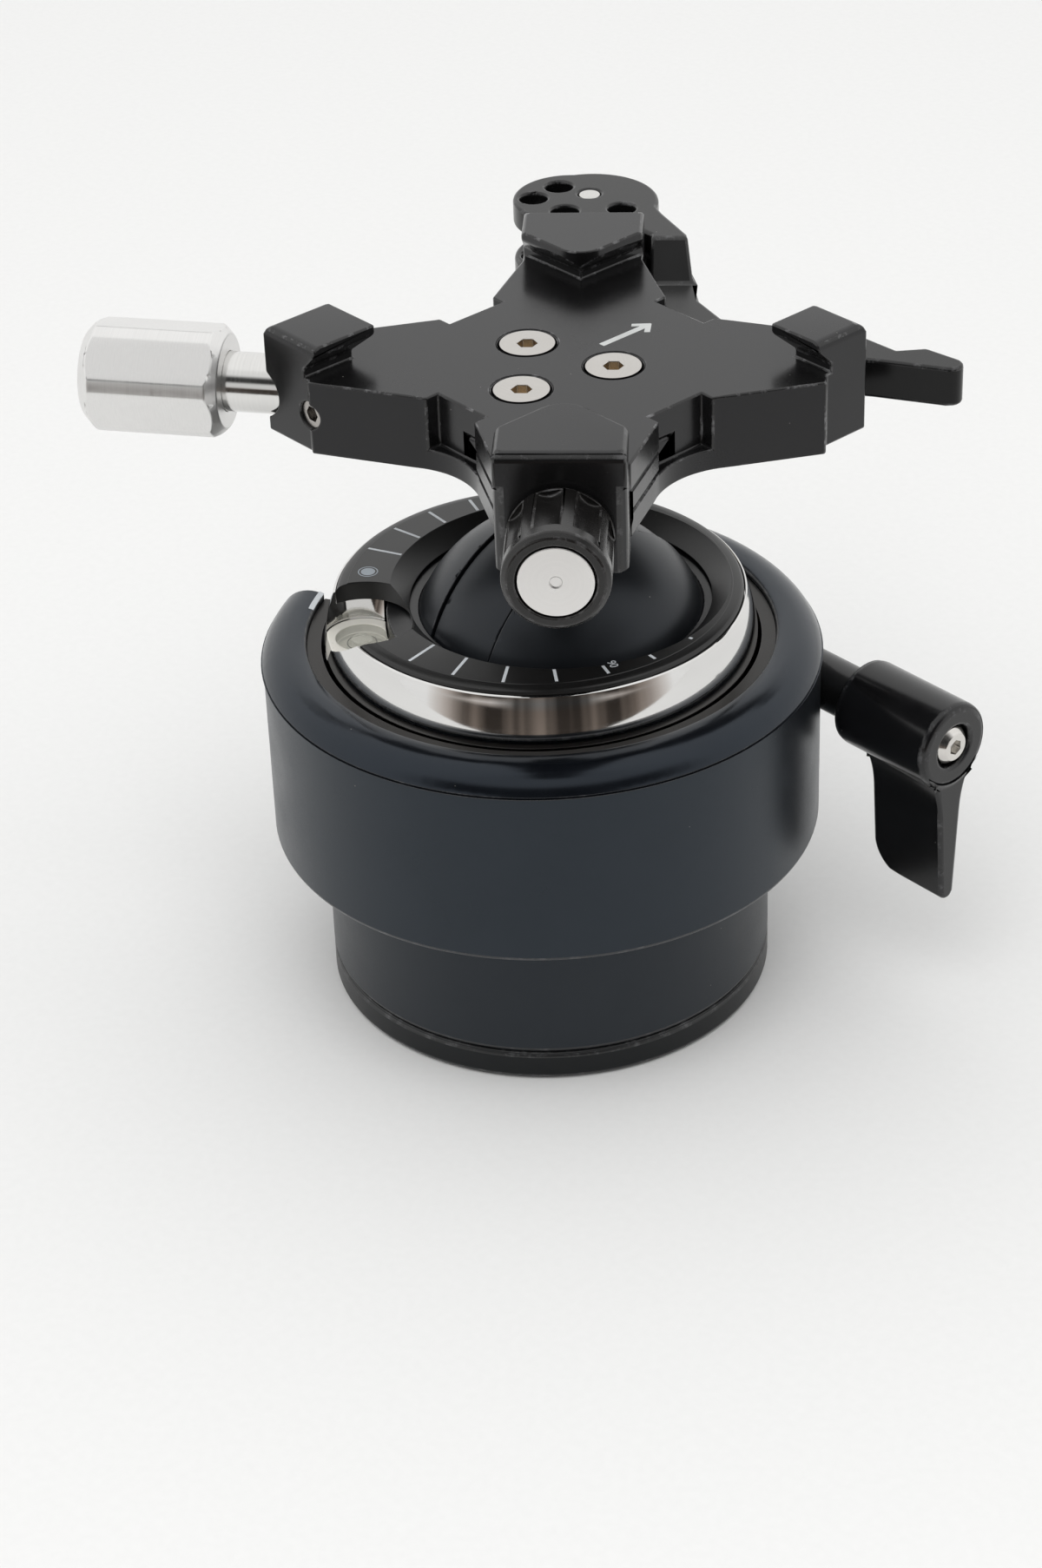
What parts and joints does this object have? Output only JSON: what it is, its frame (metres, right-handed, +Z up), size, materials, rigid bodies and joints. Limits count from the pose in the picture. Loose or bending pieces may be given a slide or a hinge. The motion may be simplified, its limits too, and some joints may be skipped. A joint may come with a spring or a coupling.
{
  "type": "ball head",
  "caption": "Double ball head: levelling ball with dial and bubble level, panning and tilting stem, lever lock, and a cross-shaped quick-release dovetail clamp with cam lever.",
  "frame": {"origin": "centre of the tripod thread at the foot's underside", "axes": "+Z up along the body's axis, +Y the lens direction, +X along the tilt axle towards the lock lever's side"},
  "size_m": [0.1038, 0.0958, 0.1025],
  "materials": {
    "foot_black": "black anodised, satin",
    "neck_black": "black anodised, satin",
    "housing_black": "black anodised, satin gloss",
    "ring_dark": "dark anodised",
    "shaft_black": "blackened",
    "lever_black": "black anodised, gloss",
    "dial_black": "black anodised, matt",
    "rotor_black": "black anodised, matt",
    "dome_black": "black anodised, satin",
    "stem_black": "black anodised, satin",
    "clamp_black": "black anodised over fine bead blast",
    "jaw_black": "black anodised over fine bead blast",
    "cam_black": "black anodised over fine bead blast",
    "knob_black": "black anodised",
    "grub_black": "blackened",
    "ball_silver": "polished",
    "knob_silver": "turned, satin",
    "spindle_silver": "turned",
    "disc_silver": "turned, pale",
    "screw_nickel": "nickel plated",
    "screw_steel": "zinc plated",
    "pin_silver": "ground",
    "axle_steel": "ground",
    "spring_steel": "spring temper",
    "brass": "machined",
    "liner_white": "slippery plastic",
    "level_silver": "polished",
    "level_glass": "clear resin"
  },
  "bodies": {
    "base": {"base_plate": "foot_black", "base_screw_a": "screw_steel", "base_screw_b": "screw_steel", "base_screw_c": "screw_steel", "pedestal": "neck_black", "housing": "housing_black", "retaining_ring": "ring_dark", "seat_ring": "brass", "seat_washer": "spring_steel", "cotter_inner": "brass", "cotter_outer": "brass"},
    "lever": {"lever_shaft": "shaft_black", "lock_lever": "lever_black", "lever_screw": "screw_nickel"},
    "liner": {"ball_liner": "liner_white"},
    "ball": {"outer_ball": "ball_silver", "dial_ring": "dial_black", "level_cup": "level_silver", "level_vial": "level_glass", "pan_washer": "liner_white"},
    "rotor": {"pan_rotor": "rotor_black", "cheek_left": "dome_black", "cheek_right": "dome_black", "tilt_axle": "axle_steel", "balance_spring_left": "spring_steel", "balance_spring_right": "spring_steel"},
    "head": {"tilt_disc": "dome_black", "stem_post": "stem_black", "brake_rod": "axle_steel", "clamp_body": "clamp_black", "clamp_screw_a": "screw_nickel", "clamp_screw_b": "screw_nickel", "clamp_screw_c": "screw_nickel", "grub_screw": "grub_black", "wear_plate": "brass"},
    "lock": {"lock_spindle": "spindle_silver", "lock_knob": "knob_silver"},
    "jaw": {"front_jaw": "jaw_black", "draw_rod": "axle_steel", "cam_pin": "pin_silver"},
    "knob": {"front_knob": "knob_black", "knob_disc": "disc_silver"},
    "cam": {"cam_lever": "cam_black"}
  },
  "joints": [
    {"name": "lever_turn", "type": "hinge", "parent": "base", "child": "lever", "pos_m": [0, 0.034, 0.0429], "axis": [1, 0, 0], "range_deg": [-25, 70]},
    {"name": "level_roll", "type": "hinge", "parent": "base", "child": "liner", "pos_m": [0, 0, 0.0518], "axis": [0, 1, 0], "range_deg": [-12, 12]},
    {"name": "level_pitch", "type": "hinge", "parent": "liner", "child": "ball", "pos_m": [0, 0, 0.0518], "axis": [1, 0, 0], "range_deg": [-12, 12]},
    {"name": "pan", "type": "hinge", "parent": "ball", "child": "rotor", "pos_m": [0.0021, 0.0021, 0.0518], "axis": [0, 0, 1], "continuous": true},
    {"name": "tilt", "type": "hinge", "parent": "rotor", "child": "head", "pos_m": [0.0021, 0.0021, 0.0518], "axis": [1, 0, 0], "range_deg": [-30, 30]},
    {"name": "lock_turn", "type": "hinge", "parent": "head", "child": "lock", "pos_m": [0.0021, 0.0021, 0.09205], "axis": [-0.7986, -0.6018, 0], "range_deg": [-60, 60]},
    {"name": "jaw_slide", "type": "slide", "parent": "head", "child": "jaw", "axis": [0.7071, -0.7071, 0], "range_m": [0, 0.00166]},
    {"name": "cam_turn", "type": "hinge", "parent": "jaw", "child": "cam", "pos_m": [-0.03651, 0.04421, 0.0975], "axis": [0, 0, 1], "range_deg": [0, 95]},
    {"name": "knob_turn", "type": "hinge", "parent": "jaw", "child": "knob", "pos_m": [0.0021, 0.0056, 0.0912], "axis": [0.7071, -0.7071, 0], "continuous": true}
  ],
  "couplings": [
    {"joint": "jaw_slide", "follows": "cam_turn", "m_per_rad": 0.001}
  ]
}
